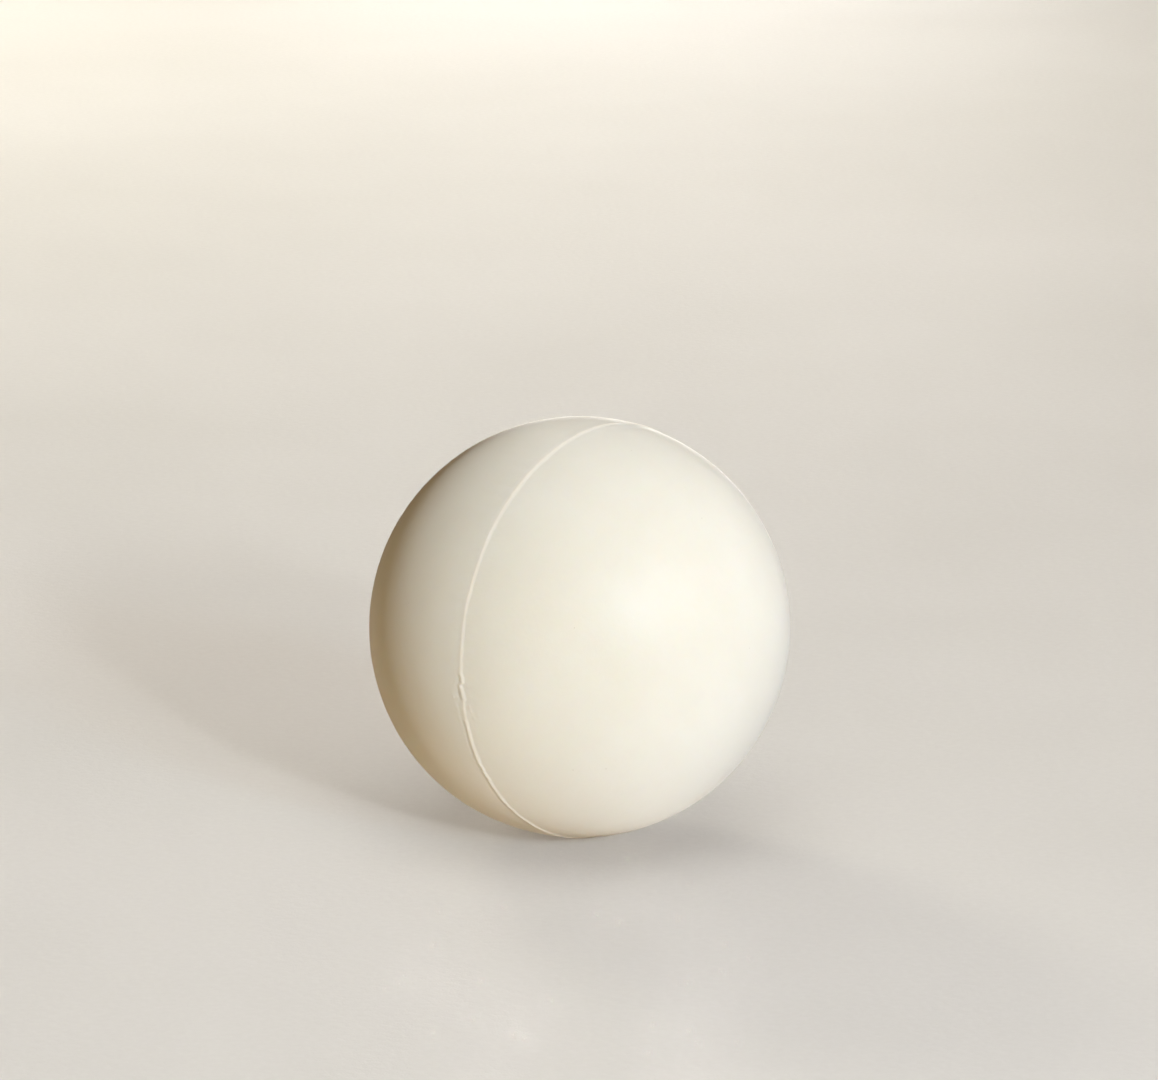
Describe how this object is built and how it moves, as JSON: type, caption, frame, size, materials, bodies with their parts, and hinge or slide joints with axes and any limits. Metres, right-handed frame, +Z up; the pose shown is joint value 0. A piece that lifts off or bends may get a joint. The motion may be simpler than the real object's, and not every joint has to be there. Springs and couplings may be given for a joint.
{
  "type": "table tennis ball",
  "caption": "Hollow cream-white table tennis ball made of two thin cups joined by a cemented lap seam that shows as a fine raised line.",
  "frame": {"origin": "centre of the ball", "axes": "+X along the common axis of the two cups, towards the pole of the spigot cup, so the seam planes are parallel to YZ; +Z up"},
  "size_m": [0.04, 0.04, 0.04],
  "materials": {
    "celluloid": "satin-matt tumbled celluloid, cream white, slightly translucent at the rim",
    "cement": "dried solvent cement, the same satin as the cups and a touch lighter"
  },
  "bodies": {
    "root": {"socket_cup": "celluloid", "spigot_cup": "celluloid", "seam_cement": "cement"}
  },
  "joints": []
}
